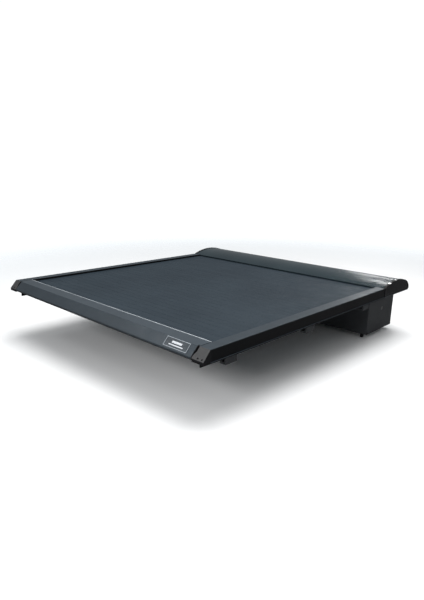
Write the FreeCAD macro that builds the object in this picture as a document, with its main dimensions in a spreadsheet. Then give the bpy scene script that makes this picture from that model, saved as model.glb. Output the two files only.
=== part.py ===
import FreeCAD, Part
import math
import os
import re
import Sketcher

# A retractable tonneau cover for the load bed of a pickup truck. A curtain of aluminium slats slides
# in two side rails and winds onto a sprung drum, inside a canister at the cab end of the bed. A pull
# bar leads the curtain and latches into the rails.
#
# The frame: X is across the truck, +Y is towards the cab and +Z is up. The origin is the middle of
# the canister's front face, which goes against the bed's front panel, at the height of the bed
# rails that the side rails sit on. Lengths are in millimetres and angles in degrees.

# The driving dimensions. Each is a cell of the sheet, with its name as the cell's alias.
SIZES = {
    # Side rails
    "rail_inner": (669, "inner edge of the rail, from the middle of the truck"),
    "rail_outer": (720, "outer face of the rail"),
    "rail_top": (50, "top of the rail above the bed rail"),
    "rail_back": (-1643, "rear end of the rail"),
    "rail_front": (-308.3, "front end of the rail, at the canister"),
    "rail_wall": (3, "wall of the rail extrusion"),
    "rail_round": (3, "rounding of the rail's outer top edge"),
    "lip_width": (4, "how far the base lip stands out"),
    "lip_height": (3.5, "thickness of the base lip"),
    "track_floor": (24, "height of the floor that the curtain runs on"),
    "track_lip": (41, "underside of the inner lip that holds the curtain down"),
    "leg_wall": (4, "wall of the leg that hangs inside the bed"),
    "leg_bottom": (-30, "lower end of that leg"),
    "seal_gap": (0.3, "gap that a seal leaves to what moves"),
    "seal_width": (6, "width of the rail's wiper seal"),
    # Rear caps of the rails
    "cap_crest": (669.5, "inner face of the rail's end cap, beside the bar's crest"),
    "cap_inner": (662, "inner face of the end cap, at its rear edge"),
    "cap_flare": (-1657, "place where the cap's inner face starts to come in"),
    "cap_flare_end": (-1668, "place where that face has come in"),
    "cap_nose": (12, "height of the end cap's rear edge"),
    "cap_plug": (25, "length of the plug inside the rail"),
    "cap_hole": (3.6, "radius of the screw holes in the cap"),
    "cap_hole_height": (16.6, "height of those holes"),
    "cap_hole_near": (688, "place of the inner screw hole across the truck"),
    "cap_hole_far": (708, "place of the outer screw hole"),
    "cap_hole_depth": (14, "depth of those holes"),
    # Curtain
    "slat_pitch": (40.6, "distance from one slat to the next"),
    "slat_first": (-1579.5, "rear edge of the first slat's cell"),
    "slat_bottom": (27, "underside of the curtain"),
    "slat_thick": (12, "thickness of a slat"),
    "slat_half": (708, "half the length of a slat"),
    "slat_wall": (1.0, "wall of a slat"),
    "slat_gap": (0.5, "half the groove between two slats"),
    "slat_body": (34.6, "front wall of the hollow part of a slat"),
    "slat_lip": (38.2, "rear face of the slat's hanging lip"),
    "slat_lip_low": (5, "lower edge of that lip"),
    "slat_edge": (0.6, "bevel along a slat's top edges"),
    "hook_reach": (4.6, "how far the slat's hook reaches behind it"),
    "hook_top": (9, "top of the hook"),
    "hook_floor": (2, "underside of the hook"),
    "hook_wall": (1.4, "wall of the hook"),
    # Pull bar
    "bar_front": (-1580, "front face of the pull bar, at the first slat"),
    "bar_top": (50, "top of the pull bar"),
    "bar_slope": (46.7, "angle of the bar's rear face down from level"),
    "crest_cut": (1.6, "how far the rounding of the crest reaches to each side"),
    "bar_back": (-1676.5, "rear edge of the pull bar"),
    "bar_nose": (14.5, "height of that edge"),
    "bar_bottom": (8, "underside of the rear box of the bar"),
    "bar_box": (-1650, "front wall of that rear box"),
    "bar_web": (-1585.2, "front face of the web behind the first slat's hook"),
    "bar_skin": (3, "wall of the pull bar"),
    "bar_half": (666, "half the length of the pull bar"),
    "bar_notch": (657.5, "end of the bar's sloping face and rear box"),
    "notch_line": (-1629, "front corner of the notch in each end of the bar"),
    "screw_hole": (2.1, "radius of the screw holes inside the bar"),
    "trim_width": (3, "width of the bright strip on the bar's front edge"),
    "trim_height": (1.8, "height of that strip"),
    # Pull bar's end blocks
    "block_inner": (636, "inner end of the end block's boss"),
    "block_plate": (2, "thickness of the plate that closes the bar's rear box"),
    "boss_half": (14, "half the width of the boss round the latch rod"),
    "shoe_start": (640, "inner end of the guide shoe"),
    "shoe_end": (711, "outer end of the guide shoe"),
    "shoe_low": (24.4, "underside of the shoe"),
    "shoe_high": (38.6, "top of the shoe"),
    "shoe_back": (-1640, "rear end of the shoe"),
    "shoe_front": (-1589, "front end of the shoe"),
    # Tailgate seal and badge plate
    "bulb_front": (-1660, "front edge of the tailgate seal"),
    "bulb_back": (-1674, "rear edge of the tailgate seal"),
    "bulb_radius": (7.1, "outer radius of the seal's bulb"),
    "bulb_hollow": (2.4, "radius of the hollow in the bulb"),
    "badge_middle": (567, "middle of the badge plate across the truck"),
    "badge_width": (124, "width of the badge plate"),
    "badge_height": (41, "height of the badge plate up the slope"),
    "badge_thick": (0.8, "thickness of the badge plate"),
    "badge_inset": (5.5, "distance of the plate from the bar's rear edge, up the slope"),
    # Latch
    "latch_line": (-1612, "place of the latch along the truck"),
    "latch_height": (12, "height of the latch rods"),
    "rod_radius": (5, "radius of a latch rod"),
    "rod_end": (664, "outer end of a latch rod, drawn in"),
    "rod_start": (46, "inner end of the round part of a rod"),
    "rod_play": (0.05, "running clearance round a rod"),
    "striker_radius": (6, "radius of the striker holes in the rails"),
    "crank": (18, "distance of the cam's pins from its axis"),
    "cam_rest": (19.47, "angle of the cam from its middle position, drawn in"),
    "cam_radius": (28, "radius of the cam disc"),
    "cam_low": (7, "underside of the cam disc"),
    "cam_thick": (4, "thickness of the cam disc"),
    "pin_radius": (3, "radius of the cam's pins"),
    "pin_play": (0.5, "play of a pin in its slot"),
    "spindle": (6, "radius of the cam's spindle"),
    "spindle_low": (-14, "lower end of the spindle"),
    "spindle_high": (24, "upper end of the spindle"),
    "link_low": (2, "underside of a rod's flat link"),
    "link_thick": (3, "thickness of that link"),
    "link_side": (9, "side of the link nearest to the spindle"),
    "link_far": (27, "side of the link farthest from the spindle"),
    "bracket_low": (17, "underside of the bracket"),
    "bracket_wall": (3, "thickness of the bracket"),
    "bracket_half": (55, "half the length of the bracket"),
    "bracket_front": (-1590, "front face of the bracket"),
    "handle_length": (100, "length of the release handle"),
    "handle_width": (20, "width of the release handle"),
    "handle_low": (-22, "underside of the release handle"),
    "handle_high": (-8, "top of the grip of the release handle"),
    "hub_radius": (12, "radius of the handle's hub"),
    "hub_high": (-2, "top of the handle's hub"),
    "travel": (1265, "how far the cover slides open"),
    # Canister
    "mouth": (-308, "rear edge of the canister's lid"),
    "tray_back": (-304, "rear face of the tray"),
    "tray_bottom": (-230, "underside of the tray"),
    "tray_front_top": (17, "top of the tray's front wall"),
    "tray_back_top": (8, "top of the tray's rear wall"),
    "tray_wall": (3, "wall of the tray"),
    "tray_half": (633.7, "half the length of the tray"),
    "port": (10, "side of a screw port"),
    "port_hole": (2.1, "radius of the hole in a screw port"),
    "port_back_top": (-10, "top of the upper rear screw port"),
    "port_front_top": (10, "top of the upper front screw port"),
    "end_inner": (634, "inner face of a canister end"),
    "end_wall": (6, "thickness of a canister end"),
    "end_nose": (-12, "front end of the track inside the canister"),
    "side_inner": (711, "inner face of the track's side wall in the canister"),
    "side_top": (45, "top of that side wall"),
    "side_front": (-36, "front end of that side wall"),
    "lid_half": (707.7, "half the length of the lid"),
    "lid_wall": (3, "thickness of the lid"),
    "lid_back": (48, "top of the lid at the mouth"),
    "lid_lip": (41.5, "lower edge of the lid at the mouth"),
    "lid_turn": (-48, "place where the lid turns down towards the cab"),
    "lid_turn_top": (57.2, "height of the lid there"),
    "lid_front": (17.3, "lower front edge of the lid"),
    "arch": (379, "radius of the lid's arch"),
    "brow": (82, "radius of the lid's front part"),
    "shell_inner": (708.3, "inner edge of a canister cap"),
    "shell_outer": (722, "outer face of a canister cap"),
    "shell_wall": (3.5, "side wall of a canister cap"),
    "shell_rise": (2.2, "how far the cap stands above the lid"),
    "shell_low": (3.8, "lower edge of a canister cap"),
    "recess": (1.5, "depth of the recess in the cap's outer face"),
    "recess_rim": (9, "width of the rim round that recess"),
    # Drum and guide roller
    "drum_line": (-140, "place of the drum along the truck"),
    "drum_height": (-105, "height of the drum's axis"),
    "drum_radius": (45, "outer radius of the drum tube"),
    "drum_wall": (3, "wall of the drum tube"),
    "drum_half": (600, "half the length of the drum"),
    "plug_length": (20, "thickness of a drum end plug"),
    "bearing_radius": (16, "outer radius of a drum bearing"),
    "bearing_length": (24, "length of a drum bearing"),
    "shaft_radius": (10, "radius of the drum's fixed shaft"),
    "shaft_half": (640, "half the length of the shafts"),
    "bearing_play": (0.05, "running clearance of the bearings"),
    "coil_radius": (20, "mean radius of the torsion spring"),
    "coil_wire": (2, "radius of the spring's wire"),
    "coil_pitch": (12, "pitch of the spring's coils"),
    "coil_length": (252, "length of the spring"),
    "coil_start": (-565, "outer end of the spring"),
    "roller_line": (-284, "place of the guide roller along the truck"),
    "roller_height": (11.7, "height of the guide roller's axis"),
    "roller_radius": (15, "radius of the guide roller"),
    "roller_half": (622, "half the length of the guide roller"),
    "axle_radius": (6, "radius of the guide roller's axle"),
    "bush_radius": (9, "outer radius of the roller's bushes"),
    "bush_length": (14, "length of a roller bush"),
    "tether_width": (50, "width of a curtain tether"),
    "tether_thick": (1.5, "thickness of a curtain tether"),
    "tether_spread": (400, "distance between two tethers"),
    # Clamps and drains
    "clamp_length": (60, "length of a clamp along the rail"),
    "clamp_wall": (8, "wall of a clamp"),
    "clamp_low": (-46, "underside of a clamp"),
    "clamp_inner": (661, "inner face of a clamp"),
    "clamp_top": (-6, "top of the clamp's inner wall"),
    "jaw_gap": (10, "room for the truck's own flange, between the leg and the jaw"),
    "jaw_top": (-8, "top of the clamp's outer jaw"),
    "clamp_bolt_height": (-18, "height of the clamp bolts"),
    "bolt_radius": (4, "radius of a clamp bolt's shank"),
    "bolt_head": (7.5, "radius of a clamp bolt's hexagon head, across its corners"),
    "bolt_head_thick": (5.5, "thickness of that head"),
    "bolt_length": (12, "length of a clamp bolt's shank"),
    "bolt_play": (0.3, "clearance round a clamp bolt"),
    "clamp_first": (-450, "place of the front clamp"),
    "clamp_step": (525, "distance between two clamps"),
    "drain_side": (600, "place of a drain spout across the truck"),
    "drain_line": (-275, "place of a drain spout along the truck"),
    "drain_radius": (9, "radius of the drain spout"),
    "drain_bore": (6.5, "radius of the drain's bore"),
    "drain_flange": (16, "radius of the drain's flange"),
    "drain_flange_thick": (3, "thickness of that flange"),
    "drain_length": (25, "length of the spout below its flange"),
}

CLAMPS_PER_SIDE = 3
SLAT_PAIRS = 17
TETHERS = 3
START, END = 1, 2
SKETCH_ORIGIN = (-1, 1)

doc = FreeCAD.newDocument("tonneau_cover")
sizes = doc.addObject("Spreadsheet::Sheet", "sizes")
parts = []


def fill_sheet():
    """Write the driving dimensions into the sheet, one row each."""
    for row, (name, (amount, meaning)) in enumerate(SIZES.items(), start=1):
        sizes.set("A%d" % row, name)
        sizes.set("B%d" % row, str(amount))
        sizes.set("C%d" % row, meaning)
        sizes.setAlias("B%d" % row, name)
    doc.recompute()


def ref(formula):
    """Turn the names in a formula into references to the sheet's cells."""
    return re.sub(r"[a-z][a-z_]+\b(?!\()", lambda name: "sizes." + name.group(0), formula)


def value(formula):
    """The present value of a formula in the sheet's names."""
    return float(sizes.evalExpression(ref(formula)))


def keep(item, label):
    """Name a finished sub-part and list it for export."""
    item.Label = label
    parts.append(item)
    return item


# Sketches


def draw_side(sketch, start, end, radius):
    """Add a straight side, or an arc that turns left for a positive radius and right for a negative.

    Returns the side's number and which of its ends are the start and the end of the walk.
    """
    if radius is None:
        return sketch.addGeometry(Part.LineSegment(start, end), False), START, END
    chord = end - start
    across = FreeCAD.Vector(-chord.y, chord.x, 0).normalize()
    height = math.sqrt(radius ** 2 - chord.Length ** 2 / 4)
    centre = (start + end) / 2 + across * math.copysign(height, radius)
    circle = Part.Circle(centre, FreeCAD.Vector(0, 0, 1), abs(radius))
    angles = [math.atan2(point.y - centre.y, point.x - centre.x) for point in (start, end)]
    if radius > 0:
        return sketch.addGeometry(Part.ArcOfCircle(circle, *angles), False), START, END
    return sketch.addGeometry(Part.ArcOfCircle(circle, *reversed(angles)), False), END, START


def hold_point(sketch, number, point, formulas):
    """Hold a point of a sketch at a place given by two formulas."""
    for kind, formula in zip(("DistanceX", "DistanceY"), formulas):
        datum = Sketcher.Constraint(kind, *SKETCH_ORIGIN, number, point, value(formula))
        index = sketch.addConstraint(datum)
        sketch.setExpression("Constraints[%d]" % index, ref(formula))


def draw_loop(sketch, corners):
    """Close a loop through corners, each a pair of formulas held by the sheet.

    A third formula in a corner is the radius of the arc that leaves it.
    """
    points = [FreeCAD.Vector(value(corner[0]), value(corner[1]), 0) for corner in corners]
    sides = []
    for index, corner in enumerate(corners):
        radius = value(corner[2]) if len(corner) > 2 else None
        sides.append(draw_side(sketch, points[index], points[(index + 1) % len(points)], radius))
    for index, corner in enumerate(corners):
        number, first, last = sides[index]
        following, opening, _ = sides[(index + 1) % len(sides)]
        sketch.addConstraint(Sketcher.Constraint("Coincident", number, last, following, opening))
        hold_point(sketch, number, first, corner[:2])
        if len(corner) > 2:
            datum = Sketcher.Constraint("Radius", number, abs(value(corner[2])))
            held = sketch.addConstraint(datum)
            sketch.setExpression("Constraints[%d]" % held, ref("abs(%s)" % corner[2]))


def draw_circle(sketch, across, up, radius):
    """Draw a circle whose centre and radius are formulas."""
    centre = FreeCAD.Vector(value(across), value(up), 0)
    circle = Part.Circle(centre, FreeCAD.Vector(0, 0, 1), value(radius))
    number = sketch.addGeometry(circle, False)
    hold_point(sketch, number, 3, (across, up))
    held = sketch.addConstraint(Sketcher.Constraint("Radius", number, value(radius)))
    sketch.setExpression("Constraints[%d]" % held, ref(radius))


def box_loop(left, right, low, high):
    """The corners of an upright rectangle."""
    return [(left, low), (right, low), (right, high), (left, high)]


def ring(across, up, radius):
    """A circle, as a loop for new_sketch."""
    return ("circle", across, up, radius)


def new_sketch(body, plane, at, loops):
    """Draw loops on one of the body's own planes, moved along the plane's normal by a formula.

    YZ_Plane faces +X, XY_Plane faces +Z and XZ_Plane faces -Y.
    """
    sketch = body.newObject("Sketcher::SketchObject", body.Name + "_sketch")
    support = [item for item in body.Origin.OriginFeatures if item.Role == plane]
    sketch.AttachmentSupport = [(support[0], "")]
    sketch.MapMode = "FlatFace"
    sketch.setExpression(".AttachmentOffset.Base.z", ref(at))
    for loop in loops:
        if loop[0] == "circle":
            draw_circle(sketch, *loop[1:])
        else:
            draw_loop(sketch, loop)
    return sketch


# Features


def new_body(name):
    return doc.addObject("PartDesign::Body", name)


def add_pad(body, plane, at, loops, length, both=False):
    """Pad loops along their plane's normal, or half to each side of the plane."""
    sketch = new_sketch(body, plane, at, loops)
    pad = body.newObject("PartDesign::Pad", body.Name + "_pad")
    pad.Profile = sketch
    pad.setExpression("Length", ref(length))
    pad.SideType = "Symmetric" if both else "One side"
    doc.recompute()
    return pad


def add_cut(body, plane, at, loops, depth):
    """Cut loops out of a body, along their plane's normal, and make sure that something went."""
    before = body.Shape.Volume
    sketch = new_sketch(body, plane, at, loops)
    pocket = body.newObject("PartDesign::Pocket", body.Name + "_cut")
    pocket.Profile = sketch
    pocket.Reversed = True
    pocket.setExpression("Length", ref(depth))
    doc.recompute()
    if body.Shape.Volume >= before:
        raise RuntimeError("a cut in %s takes nothing away" % body.Name)
    return pocket


def across_truck(name, loops, half):
    """A section in Y and Z, run across the truck to the same distance each side."""
    body = new_body(name)
    add_pad(body, "YZ_Plane", "0", loops, "2 * (%s)" % half, both=True)
    return body


def along_truck(name, loops, front, length):
    """A section in X and Z, run towards the tailgate from its front end."""
    body = new_body(name)
    add_pad(body, "XZ_Plane", "-(%s)" % front, loops, length)
    return body


def turned(name, outline):
    """A round piece about the Z axis, from the outline of its half in radius and height."""
    body = new_body(name)
    sketch = new_sketch(body, "XZ_Plane", "0", [outline])
    revolution = body.newObject("PartDesign::Revolution", name + "_turn")
    revolution.Profile = sketch
    revolution.ReferenceAxis = (sketch, ["V_Axis"])
    revolution.Angle = 360
    doc.recompute()
    return body


def mirrored(source, label):
    """The left-hand copy of a right-hand piece."""
    mirror = doc.addObject("Part::Mirroring", label)
    mirror.Source = source
    mirror.Normal = FreeCAD.Vector(1, 0, 0)
    return keep(mirror, label)


def both_sides(source, name):
    """Keep a right-hand piece and its mirror image."""
    keep(source, name + "_right")
    mirrored(source, name + "_left")


def spot(across, along, up, axis=(0, 0, 1), angle=0):
    """A place, as three formulas, and a turn."""
    return (across, along, up), FreeCAD.Rotation(FreeCAD.Vector(*axis), angle)


def group(label, source, spots):
    """Copies of one piece as separate solids in one sub-part."""
    links = []
    for formulas, rotation in spots:
        link = doc.addObject("App::Link", label + "_copy")
        link.LinkedObject = source
        link.Placement = FreeCAD.Placement(FreeCAD.Vector(), rotation)
        for letter, formula in zip("xyz", formulas):
            link.setExpression(".Placement.Base." + letter, ref(formula))
        links.append(link)
    compound = doc.addObject("Part::Compound", label)
    compound.Links = links
    return keep(compound, label)


# Side rails


def clamp_place(index):
    """The formula for the place of a clamp along the rail."""
    return "clamp_first - %d * clamp_step" % index


def side_rails():
    """Extruded rails: a track over a hollow base, with a leg that hangs inside the bed."""
    outer = [
        ("rail_inner", "rail_top"),
        ("rail_inner", "track_lip"),
        ("rail_inner + rail_wall", "track_lip"),
        ("rail_inner + rail_wall", "rail_top - rail_wall"),
        ("rail_outer - rail_wall", "rail_top - rail_wall"),
        ("rail_outer - rail_wall", "track_floor"),
        ("rail_inner", "track_floor"),
        ("rail_inner", "leg_bottom"),
        ("rail_inner + leg_wall", "leg_bottom"),
        ("rail_inner + leg_wall", "0"),
        ("rail_outer + lip_width", "0"),
        ("rail_outer + lip_width", "lip_height"),
        ("rail_outer", "lip_height"),
        ("rail_outer", "rail_top - rail_round", "rail_round"),
        ("rail_outer - rail_round", "rail_top"),
    ]
    chamber = box_loop("rail_inner + leg_wall", "rail_outer - rail_wall",
                       "rail_wall", "track_floor - rail_wall")
    rail = along_truck("side_rail", [outer, chamber], "rail_front", "rail_front - rail_back")
    strikers = [ring("latch_line + %g * travel" % part, "latch_height", "striker_radius")
                for part in (0, 0.5, 1)]
    bolts = [ring(clamp_place(index), "clamp_bolt_height", "bolt_radius + bolt_play")
             for index in range(CLAMPS_PER_SIDE)]
    add_cut(rail, "YZ_Plane", "0", strikers + bolts, "rail_inner + leg_wall + 1")
    both_sides(rail, "side_rail")


def rail_seals():
    """Rubber wipers behind the rails' inner lips, just clear of the slats."""
    left = "rail_inner + rail_wall + seal_gap"
    right = left + " + seal_width"
    top = "rail_top - rail_wall - seal_gap"
    blade = [
        (left, top),
        (left, "track_lip"),
        (right + " - 1.5", "slat_bottom + slat_thick + seal_gap"),
        (right, "slat_bottom + slat_thick + seal_gap"),
        (right, top),
    ]
    both_sides(along_truck("rail_seal", [blade], "rail_front", "rail_front - rail_back"), "rail_seal")


def rail_end_caps():
    """Sloping plastic caps that close the rear ends of the rails."""
    cap = new_body("rail_end_cap")
    wedge = [
        ("rail_back", "0"),
        ("rail_back", "rail_top"),
        ("bar_back", "cap_nose"),
        ("bar_back", "0"),
    ]
    add_pad(cap, "YZ_Plane", "cap_inner", [wedge], "rail_outer - cap_inner")
    plug = box_loop("rail_inner + leg_wall + seal_gap", "rail_outer - rail_wall - seal_gap",
                    "rail_wall + seal_gap", "track_floor - rail_wall - seal_gap")
    add_pad(cap, "XZ_Plane", "-(rail_back + cap_plug)", [plug], "cap_plug")
    holes = [ring(side, "cap_hole_height", "cap_hole") for side in ("cap_hole_near", "cap_hole_far")]
    add_cut(cap, "XZ_Plane", "-(bar_back + cap_hole_depth)", holes, "cap_hole_depth + 1")
    flare = [
        ("cap_inner - 1", "rail_back + 1"),
        ("cap_inner - 1", "cap_flare_end"),
        ("cap_inner", "cap_flare_end"),
        ("cap_crest", "cap_flare"),
        ("cap_crest", "rail_back + 1"),
    ]
    add_cut(cap, "XY_Plane", "-1", [flare], "rail_top + 2")
    both_sides(cap, "rail_end_cap")


def end_cap_screws():
    """Two screws at the bottom of the holes in each end cap."""
    screw = turned("cap_screw", [
        ("0", "0"),
        ("cap_hole - 0.1", "0"),
        ("cap_hole - 0.1", "1.6"),
        ("cap_hole - 0.6", "2.2"),
        ("1", "2.2"),
        ("1", "1.2"),
        ("0", "1.2"),
    ])
    spots = [spot(sign + side, "bar_back + cap_hole_depth", "cap_hole_height", (1, 0, 0), 90)
             for sign in ("", "-") for side in ("cap_hole_near", "cap_hole_far")]
    group("end_cap_screws", screw, spots)


# Clamps


def rail_clamps():
    """C-shaped clamps that grip the truck's own flange against the rail's leg."""
    jaw = "rail_inner + leg_wall + jaw_gap"
    section = [
        ("clamp_inner", "clamp_top"),
        ("clamp_inner", "clamp_low"),
        (jaw + " + clamp_wall", "clamp_low"),
        (jaw + " + clamp_wall", "jaw_top"),
        (jaw, "jaw_top"),
        (jaw, "clamp_low + clamp_wall"),
        ("rail_inner - seal_gap", "clamp_low + clamp_wall"),
        ("rail_inner - seal_gap", "clamp_top"),
    ]
    clamp = along_truck("clamp", [section], "clamp_length / 2", "clamp_length")
    hole = ring("0", "clamp_bolt_height", "bolt_radius + bolt_play")
    add_cut(clamp, "YZ_Plane", "clamp_inner - 1", [hole], "clamp_wall + 2")
    spots = []
    for index in range(CLAMPS_PER_SIDE):
        spots.append(spot("0", clamp_place(index), "0"))
        spots.append(spot("0", clamp_place(index), "0", (0, 0, 1), 180))
    group("rail_clamps", clamp, spots)


def clamp_bolts():
    """Hexagon-headed bolts through the clamps and the rails' legs."""
    head = doc.addObject("Part::Prism", "bolt_head")
    head.Polygon = 6
    head.setExpression("Circumradius", ref("bolt_head"))
    head.setExpression("Height", ref("bolt_head_thick"))
    shank = doc.addObject("Part::Cylinder", "bolt_shank")
    shank.setExpression("Radius", ref("bolt_radius"))
    shank.setExpression("Height", ref("bolt_length + bolt_head_thick"))
    bolt = doc.addObject("Part::Fuse", "clamp_bolt")
    bolt.Base = head
    bolt.Tool = shank
    spots = []
    for index in range(CLAMPS_PER_SIDE):
        place = clamp_place(index)
        spots.append(spot("clamp_inner - bolt_head_thick", place, "clamp_bolt_height", (0, 1, 0), 90))
        spots.append(spot("bolt_head_thick - clamp_inner", place, "clamp_bolt_height", (0, 1, 0), -90))
    group("clamp_bolts", bolt, spots)


# Curtain


def slats():
    """Hollow aluminium slats that hook into each other, two to a sub-part."""
    outer = [
        ("slat_gap", "0"),
        ("slat_body", "0"),
        ("slat_body", "slat_thick - slat_wall"),
        ("slat_lip", "slat_thick - slat_wall"),
        ("slat_lip", "slat_lip_low"),
        ("slat_pitch - slat_gap", "slat_lip_low"),
        ("slat_pitch - slat_gap", "slat_thick - slat_edge"),
        ("slat_pitch - slat_gap - slat_edge", "slat_thick"),
        ("slat_gap + slat_edge", "slat_thick"),
        ("slat_gap", "slat_thick - slat_edge"),
        ("slat_gap", "hook_floor + hook_wall"),
        ("hook_wall - hook_reach", "hook_floor + hook_wall"),
        ("hook_wall - hook_reach", "hook_top"),
        ("-hook_reach", "hook_top"),
        ("-hook_reach", "hook_floor"),
        ("slat_gap", "hook_floor"),
    ]
    low, high = "slat_wall", "slat_thick - slat_wall"
    middle = "(slat_gap + slat_body) / 2"
    rear_cell = box_loop("slat_gap + slat_wall", middle + " - slat_wall / 2", low, high)
    front_cell = box_loop(middle + " + slat_wall / 2", "slat_body - slat_wall", low, high)
    slat = across_truck("slat", [outer, rear_cell, front_cell], "slat_half")
    for pair in range(SLAT_PAIRS):
        first = 2 * pair
        spots = [spot("0", "slat_first + %d * slat_pitch" % number, "slat_bottom")
                 for number in (first, first + 1)]
        group("slats_%02d_%02d" % (first + 1, first + 2), slat, spots)


def curtain_tethers():
    """Bands from the last slat to the drum, which the curtain follows when it winds up."""
    half_thick = value("tether_thick / 2")
    drum = FreeCAD.Vector(0, value("drum_line"), value("drum_height"))
    wrap = value("drum_radius + seal_gap") + half_thick
    last = value("slat_first + %d * slat_pitch" % (2 * SLAT_PAIRS - 1))
    height = value("slat_bottom") - half_thick
    rear = FreeCAD.Vector(0, last + value("slat_gap"), height)
    edge = FreeCAD.Vector(0, last + value("slat_body"), height)
    to_drum = drum - edge
    lean = math.atan2(to_drum.z, to_drum.y) + math.asin(wrap / to_drum.Length)
    run = math.sqrt(to_drum.Length ** 2 - wrap ** 2)
    touch = edge + FreeCAD.Vector(0, math.cos(lean), math.sin(lean)) * run
    angle = math.atan2(touch.z - drum.z, touch.y - drum.y)
    wrapped = [drum + FreeCAD.Vector(0, math.cos(turn), math.sin(turn)) * wrap
               for turn in (angle - math.pi / 3, angle - 2 * math.pi / 3)]
    path = Part.Wire([Part.LineSegment(rear, edge).toShape(),
                      Part.LineSegment(edge, touch).toShape(),
                      Part.Arc(touch, *wrapped).toShape()])
    width = value("tether_width")
    corner = rear + FreeCAD.Vector(-width / 2, 0, half_thick)
    profile = Part.makePlane(width, 2 * half_thick, corner, FreeCAD.Vector(0, 1, 0),
                             FreeCAD.Vector(1, 0, 0))
    band = path.makePipeShell([profile.OuterWire], True, False, 1)
    bands = []
    for index in range(TETHERS):
        copy = band.copy()
        copy.translate(FreeCAD.Vector((index - 1) * value("tether_spread"), 0, 0))
        bands.append(copy)
    feature = doc.addObject("Part::Feature", "curtain_tethers")
    feature.Shape = Part.Compound(bands)
    keep(feature, "curtain_tethers")


# Pull bar


def slope_height(along, under="0"):
    """The height of the bar's sloping face at a place along the truck, or of a face under it."""
    return "bar_nose + ((%s) - bar_back) * tan(bar_slope) - (%s) / cos(bar_slope)" % (along, under)


def slope_place(height):
    """The place along the truck where the bar's sloping face is at a height."""
    return "bar_back + ((%s) - bar_nose) / tan(bar_slope)" % height


def pull_bar():
    """The leading extrusion, flat on top with a steep rear face, notched at its ends."""
    recess_top = "slat_bottom + slat_thick - slat_wall"
    lip = "bar_front - (slat_pitch - slat_gap - slat_lip)"
    crest = slope_place("bar_top")
    outer = [
        ("bar_front", "bar_top - trim_height"),
        ("bar_front - trim_width", "bar_top - trim_height"),
        ("bar_front - trim_width", "bar_top"),
        (crest + " + crest_cut", "bar_top", "crest_cut / tan(bar_slope / 2)"),
        (crest + " - crest_cut * cos(bar_slope)", "bar_top - crest_cut * sin(bar_slope)"),
        ("bar_back", "bar_nose"),
        ("bar_back", "bar_bottom"),
        ("bar_box", "bar_bottom"),
        ("bar_box", slope_height("bar_box", "bar_skin")),
        (slope_place("bar_top - bar_skin + bar_skin / cos(bar_slope)"), "bar_top - bar_skin"),
        ("bar_web - bar_skin", "bar_top - bar_skin"),
        ("bar_web - bar_skin", "slat_bottom"),
        ("bar_web", "slat_bottom"),
        ("bar_web", recess_top),
        (lip, recess_top),
        (lip, "slat_bottom + slat_lip_low"),
        ("bar_front", "slat_bottom + slat_lip_low"),
    ]
    front_wall, rear_wall = "bar_box - bar_skin", "bar_back + bar_skin"
    chamber = [
        (rear_wall, "bar_bottom + bar_skin"),
        (front_wall, "bar_bottom + bar_skin"),
        (front_wall, slope_height(front_wall, "bar_skin")),
        (rear_wall, slope_height(rear_wall, "bar_skin")),
    ]
    bar = across_truck("pull_bar", [outer, chamber], "bar_half")
    for sign in ("", "-"):
        notch = [
            (sign + "bar_notch", "notch_line"),
            (sign + "bar_notch", "bar_back - 1"),
            (sign + "(bar_half + 2)", "bar_back - 1"),
            (sign + "(bar_half + 2)", crest),
            (sign + "bar_half", crest),
        ]
        add_cut(bar, "XY_Plane", "0", [notch], "bar_top + 1")
    holes = [ring(across, up, "screw_hole") for across, up in bar_screw_places()]
    add_cut(bar, "XZ_Plane", "-(bar_box + 1)", holes, "bar_skin + 2")
    keep(bar, "pull_bar")


def bar_screw_places():
    """The middles of the screws in the bar's inner wall, across the truck and up."""
    ends = ("(bracket_half - 12)", "(bar_notch - 10)")
    return [(sign + end, "bracket_low + 8") for sign in ("", "-") for end in ends]


def bar_screws():
    """Pan-head screws that hold the bracket and the end blocks to the bar's inner wall."""
    screw = turned("bar_screw", [
        ("0", "-9"),
        ("screw_hole - 0.1", "-9"),
        ("screw_hole - 0.1", "0"),
        ("3.8", "0"),
        ("3.8", "1.2"),
        ("3", "2.4"),
        ("1.2", "2.4"),
        ("1.2", "1.2"),
        ("0", "1.2"),
    ])
    spots = [spot(across, "bar_box + bracket_wall", up, (1, 0, 0), -90)
             for across, up in bar_screw_places()]
    group("bar_screws", screw, spots)


def bar_trim_strip():
    """A bright strip along the bar's front top edge."""
    rise = "bar_top + 0.3"
    section = [
        ("bar_front", "bar_top - trim_height"),
        ("bar_front", rise + " - 0.6"),
        ("bar_front - 0.6", rise),
        ("bar_front - trim_width + 0.4", rise),
        ("bar_front - trim_width + 0.1", "bar_top"),
        ("bar_front - trim_width + 0.1", "bar_top - trim_height"),
    ]
    keep(across_truck("bar_trim_strip", [section], "bar_half"), "bar_trim_strip")


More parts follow.
